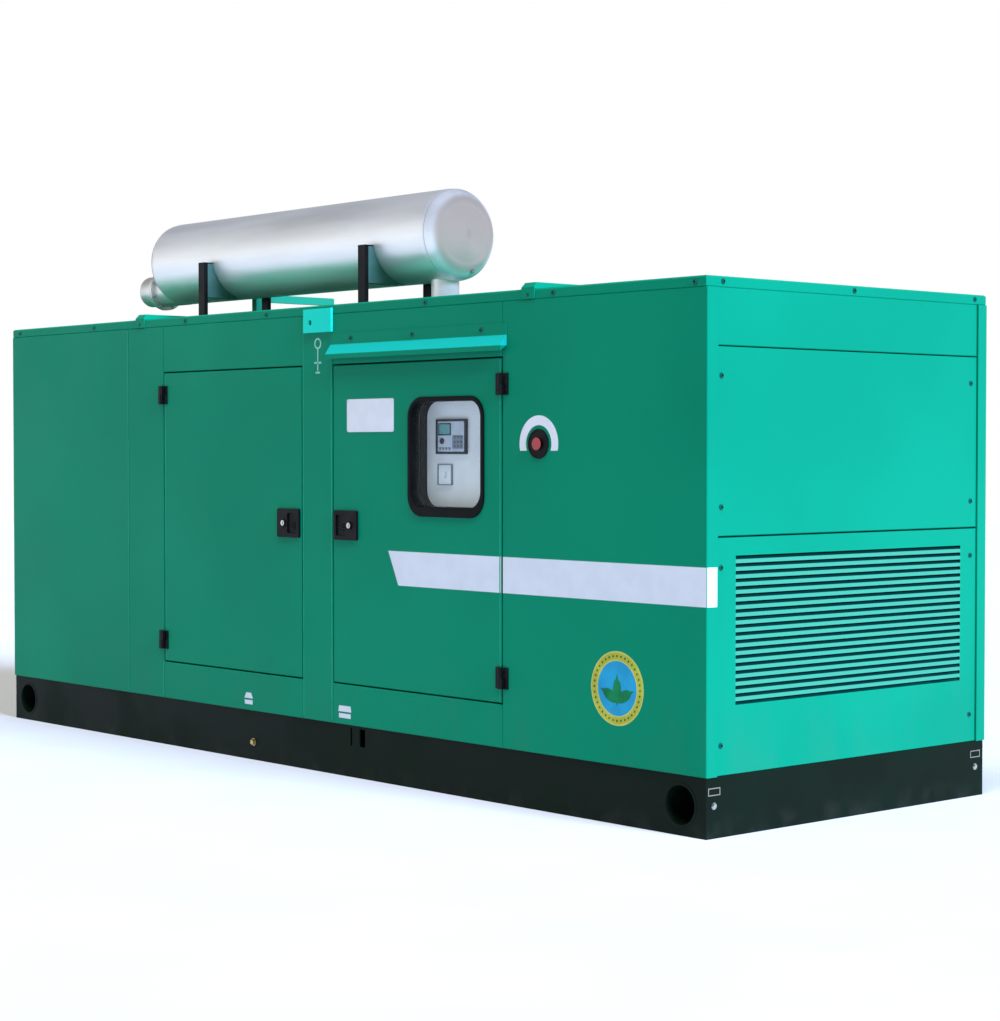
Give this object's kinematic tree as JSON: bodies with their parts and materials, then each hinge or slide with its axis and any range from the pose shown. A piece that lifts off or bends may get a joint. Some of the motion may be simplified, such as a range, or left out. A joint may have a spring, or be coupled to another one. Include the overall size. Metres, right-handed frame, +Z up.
{
  "type": "silent diesel generator set",
  "caption": "Sound-proofed diesel generator set: lined canopy on a skid base with hinged service doors, air louvres and a roof silencer.",
  "frame": {"origin": "centre of the skid base's underside, on the ground, midway between the end walls and the side walls", "axes": "+X along the set towards the alternator end, -Y towards the side with the two hinged service doors, +Z up"},
  "size_m": [4.9, 1.674, 2.491],
  "materials": {
    "canopy_paint": "satin",
    "trim_paint": "satin",
    "base_paint": "satin",
    "black_metal": "satin",
    "black_plastic": "matte",
    "red_plastic": "gloss",
    "rubber": "matte",
    "glass": "clear",
    "silver_paint": "aluminium paint",
    "cabinet_paint": "satin",
    "machine_paint": "painted",
    "radiator_black": "matte",
    "pipe_steel": "heat stained"
  },
  "bodies": {
    "enclosure": {"base_rail_front": "base_paint", "base_rail_back": "base_paint", "base_ends": "base_paint", "base_cross_members": "base_paint", "lifting_tubes": "base_paint", "base_floor": "base_paint", "front_panel_near": "canopy_paint", "front_post": "canopy_paint", "front_strip": "canopy_paint", "front_panel_far": "canopy_paint", "front_headers": "canopy_paint", "front_sills": "canopy_paint", "door_stops": "rubber", "back_panels": "canopy_paint", "back_headers_sills": "canopy_paint", "back_doors": "canopy_paint", "back_door_fittings": "black_plastic", "end_headers": "canopy_paint", "near_plain_panel": "canopy_paint", "near_louvre_panel": "canopy_paint", "far_plain_panel": "canopy_paint", "far_louvre_panel": "canopy_paint", "roof_near": "canopy_paint", "roof_middle": "canopy_paint", "roof_far": "canopy_paint", "roof_joint_caps": "canopy_paint", "rain_hood": "trim_paint", "lifting_plates": "trim_paint", "roof_lifting_frame": "trim_paint", "silencer_shell": "silver_paint", "silencer_inlet": "silver_paint", "silencer_outlet": "silver_paint", "silencer_saddles": "black_metal", "saddle_webs": "silver_paint", "hinge_brackets": "black_metal", "estop_housing": "black_plastic", "control_cabinet": "cabinet_paint", "cabinet_bezel": "black_plastic", "turbocharger": "pipe_steel", "alternator": "machine_paint", "engine": "machine_paint", "radiator": "radiator_black", "exhaust_riser": "pipe_steel", "cooling_fan": "radiator_black"},
    "door_right": {"door_right": "canopy_paint", "door_right_hinges": "black_metal", "door_right_latch": "black_plastic", "window_rubber": "rubber", "window_pane": "glass"},
    "door_left": {"door_left": "canopy_paint", "door_left_hinges": "black_metal", "door_left_latch": "black_plastic"},
    "estop_button": {"estop_button": "red_plastic"}
  },
  "joints": [
    {"name": "door_right_hinge", "type": "hinge", "parent": "enclosure", "child": "door_right", "pos_m": [1.36, -0.822, 1.0685], "axis": [0, 0, 1], "range_deg": [0, 120]},
    {"name": "door_left_hinge", "type": "hinge", "parent": "enclosure", "child": "door_left", "pos_m": [-1.038, -0.822, 1.0685], "axis": [0, 0, -1], "range_deg": [0, 120]},
    {"name": "estop_press", "type": "slide", "parent": "enclosure", "child": "estop_button", "axis": [0, 1, 0], "range_m": [0, 0.004]}
  ]
}
